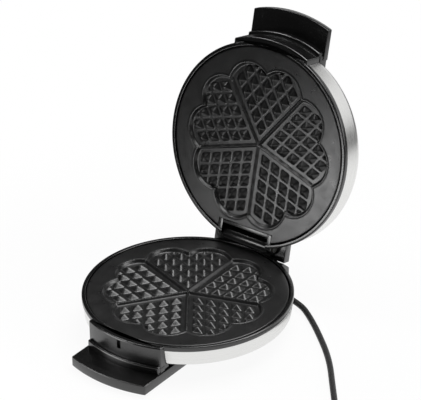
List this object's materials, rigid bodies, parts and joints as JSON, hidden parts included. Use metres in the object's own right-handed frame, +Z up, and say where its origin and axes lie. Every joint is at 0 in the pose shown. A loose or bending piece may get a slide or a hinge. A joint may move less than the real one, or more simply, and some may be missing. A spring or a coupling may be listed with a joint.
{
  "type": "heart waffle maker",
  "caption": "Countertop waffle maker with round hinged halves, heart-shaped moulds, steel skins, black handles, a browning dial and a mains lead, standing open.",
  "frame": {"origin": "on the floor, under the middle of the open object's box without its lead", "axes": "+Z up, -Y towards the handles, +Y towards the hinge, +X to the right seen from the handles, where the lead leaves"},
  "size_m": [0.4008, 0.43, 0.3152],
  "materials": {
    "black_plastic": "moulded, satin",
    "brushed_steel": "brushed",
    "dark_coating": "non-stick coating, satin",
    "heater_steel": "plain",
    "shield_sheet": "mill finish",
    "screw_steel": "zinc plated",
    "terminal_brass": "plain",
    "pin_plating": "nickel plated",
    "foot_rubber": "soft, matt",
    "lead_rubber": "smooth sheath",
    "white_ceramic": "plain",
    "red_lens": "clear tinted",
    "green_lens": "clear tinted"
  },
  "bodies": {
    "base": {"base_housing": "black_plastic", "base_steel_band": "brushed_steel", "bottom_cover": "black_plastic", "handle_cover": "black_plastic", "foot_front_left": "foot_rubber", "foot_front_right": "foot_rubber", "foot_rear_left": "foot_rubber", "foot_rear_right": "foot_rubber", "bottom_cover_screws": "screw_steel", "handle_cover_screws": "screw_steel", "base_plate_screws": "screw_steel", "base_cooking_plate": "dark_coating", "base_heater": "heater_steel", "base_heater_terminals": "terminal_brass", "base_heat_shield": "shield_sheet", "base_shield_screw": "screw_steel", "hinge_pin": "heater_steel", "hinge_clips": "heater_steel", "terminal_block": "white_ceramic", "base_thermal_fuse": "white_ceramic", "base_leads": "lead_rubber", "cord_bushing": "lead_rubber", "cord_clamp": "black_plastic", "power_cord": "lead_rubber", "power_cord_coil": "lead_rubber", "mains_plug": "lead_rubber", "plug_pins": "pin_plating"},
    "lid": {"lid_housing": "black_plastic", "lid_steel_cover": "brushed_steel", "lid_cooking_plate": "dark_coating", "lid_heater": "heater_steel", "lid_heater_terminals": "terminal_brass", "lid_heat_shield": "shield_sheet", "lid_shield_screw": "screw_steel", "lid_plate_screws": "screw_steel", "lid_thermal_fuse": "white_ceramic", "hinge_bush_left": "terminal_brass", "hinge_bush_right": "terminal_brass", "thermostat": "black_plastic", "power_lamp_lens": "red_lens", "power_lamp": "red_lens", "ready_lamp_lens": "green_lens", "ready_lamp": "green_lens"},
    "dial": {"browning_dial": "black_plastic", "dial_shaft": "heater_steel"}
  },
  "joints": [
    {"name": "lid_hinge", "type": "hinge", "parent": "base", "child": "lid", "pos_m": [0, 0.0883, 0.058], "axis": [1, 0, 0], "range_deg": [0, 103.6]},
    {"name": "dial_turn", "type": "hinge", "parent": "lid", "child": "dial", "pos_m": [0, 0.16563, 0.24496], "axis": [0, 0.972, -0.2351], "range_deg": [0, 270]}
  ]
}
